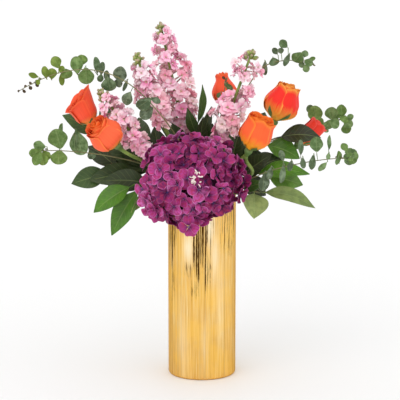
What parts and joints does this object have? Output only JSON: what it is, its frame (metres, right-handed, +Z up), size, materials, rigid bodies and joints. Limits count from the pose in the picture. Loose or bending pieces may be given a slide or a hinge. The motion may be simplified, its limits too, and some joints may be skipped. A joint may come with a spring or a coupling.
{
  "type": "floral table centerpiece",
  "caption": "Tall straight vase with a gold lustre, holding a loose arrangement of hydrangea, roses, stock spikes, eucalyptus and broad leaves.",
  "frame": {"origin": "centre of the vase's underside", "axes": "+Z up along the vase, -Y the front where the hydrangea hangs over the rim, +X the viewer's right"},
  "size_m": [0.5007, 0.2616, 0.5313],
  "materials": {
    "gold_lustre": "gloss",
    "hydrangea_petal": "matte",
    "rose_petal": "matte",
    "stock_petal": "matte",
    "stem": "satin",
    "eucalyptus_leaf": "matte",
    "salal_leaf": "satin"
  },
  "bodies": {
    "root": {"vase": "gold_lustre", "hydrangea_stem": "stem", "hydrangea_crown": "hydrangea_petal", "hydrangea_hanging": "hydrangea_petal", "rose_left_high_stem": "stem", "rose_left_high_calyx": "stem", "rose_left_high_outer_petals": "rose_petal", "rose_left_high_heart": "rose_petal", "rose_left_low_stem": "stem", "rose_left_low_calyx": "stem", "rose_left_low_outer_petals": "rose_petal", "rose_left_low_heart": "rose_petal", "rose_back_stem": "stem", "rose_back_calyx": "stem", "rose_back_outer_petals": "rose_petal", "rose_back_heart": "rose_petal", "rose_right_high_stem": "stem", "rose_right_high_calyx": "stem", "rose_right_high_outer_petals": "rose_petal", "rose_right_high_heart": "rose_petal", "rose_right_low_stem": "stem", "rose_right_low_calyx": "stem", "rose_right_low_outer_petals": "rose_petal", "rose_right_low_heart": "rose_petal", "rose_far_right_stem": "stem", "rose_far_right_calyx": "stem", "rose_far_right_outer_petals": "rose_petal", "rose_far_right_heart": "rose_petal", "stock_tall_stem": "stem", "stock_tall_florets": "stock_petal", "stock_mid_stem": "stem", "stock_mid_florets": "stock_petal", "stock_left_stem": "stem", "stock_left_florets": "stock_petal", "stock_right_stem": "stem", "stock_right_florets": "stock_petal", "eucalyptus_left_high": "eucalyptus_leaf", "eucalyptus_left_low": "eucalyptus_leaf", "eucalyptus_right_high": "eucalyptus_leaf", "eucalyptus_right_mid": "eucalyptus_leaf", "eucalyptus_right_low": "eucalyptus_leaf", "eucalyptus_centre": "eucalyptus_leaf", "salal_left_low": "salal_leaf", "salal_left_mid": "salal_leaf", "salal_left_high": "salal_leaf", "salal_centre": "salal_leaf", "salal_right_high": "salal_leaf", "salal_right_mid": "salal_leaf", "salal_right_low": "salal_leaf", "salal_back_left": "salal_leaf", "salal_back_right": "salal_leaf"}
  },
  "joints": []
}
